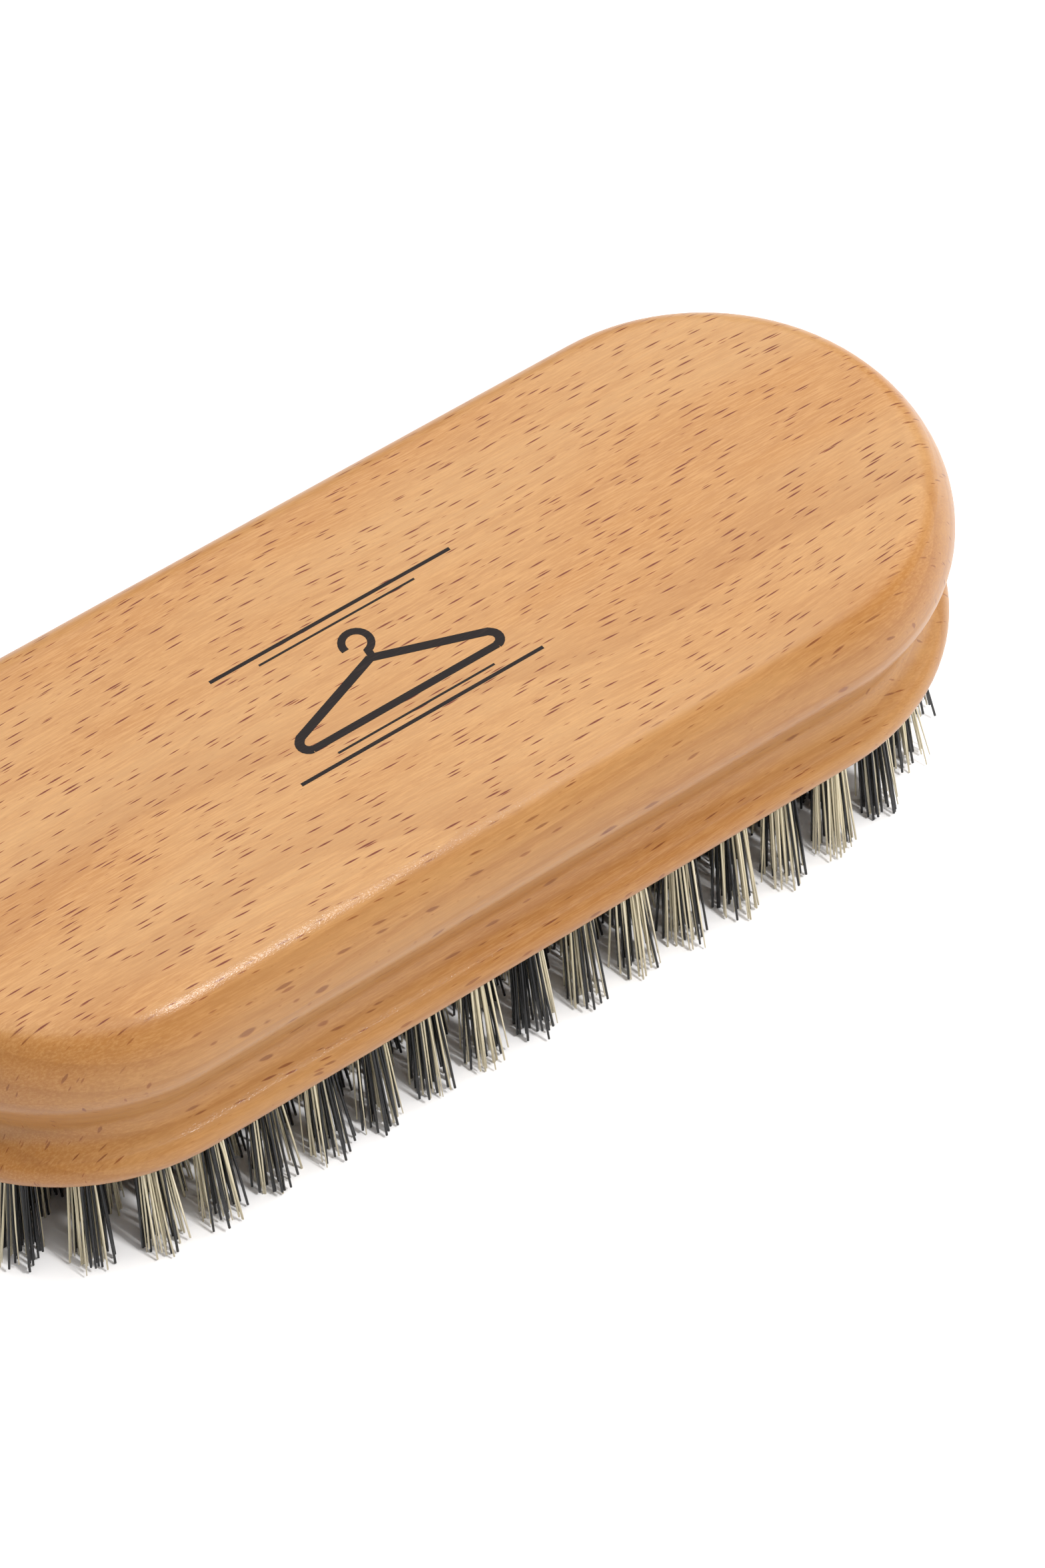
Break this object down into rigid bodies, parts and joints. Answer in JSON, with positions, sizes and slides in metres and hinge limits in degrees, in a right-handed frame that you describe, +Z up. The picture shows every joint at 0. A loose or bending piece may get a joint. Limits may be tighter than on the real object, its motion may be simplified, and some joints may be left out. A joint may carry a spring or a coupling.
{
  "type": "clothes brush",
  "caption": "Oblong wooden clothes brush with semicircular ends, a finger groove round its side and rings of mixed dark and pale bristle tufts.",
  "frame": {"origin": "middle of the footprint, level with the bristle tips that the brush stands on", "axes": "+X along the length, +Y across the width towards the back, +Z up from the bristle tips to the top face of the block"},
  "size_m": [0.152, 0.06, 0.0458],
  "materials": {
    "beech": "satin lacquer over steamed beech, fine flecks along the length",
    "bristle": "stiff bristles, near-black and pale beige mixed in every tuft",
    "staple_wire": "bright drawn wire"
  },
  "bodies": {
    "root": {"beech_block": "beech", "front_outer_tufts": "bristle", "right_outer_tufts": "bristle", "back_outer_tufts": "bristle", "left_outer_tufts": "bristle", "front_second_tufts": "bristle", "right_second_tufts": "bristle", "back_second_tufts": "bristle", "left_second_tufts": "bristle", "front_third_tufts": "bristle", "right_third_tufts": "bristle", "back_third_tufts": "bristle", "left_third_tufts": "bristle", "front_inner_tufts": "bristle", "right_inner_tufts": "bristle", "back_inner_tufts": "bristle", "left_inner_tufts": "bristle", "front_outer_staples": "staple_wire", "right_outer_staples": "staple_wire", "back_outer_staples": "staple_wire", "left_outer_staples": "staple_wire", "front_second_staples": "staple_wire", "right_second_staples": "staple_wire", "back_second_staples": "staple_wire", "left_second_staples": "staple_wire", "front_third_staples": "staple_wire", "right_third_staples": "staple_wire", "back_third_staples": "staple_wire", "left_third_staples": "staple_wire", "front_inner_staples": "staple_wire", "right_inner_staples": "staple_wire", "back_inner_staples": "staple_wire", "left_inner_staples": "staple_wire"}
  },
  "joints": []
}
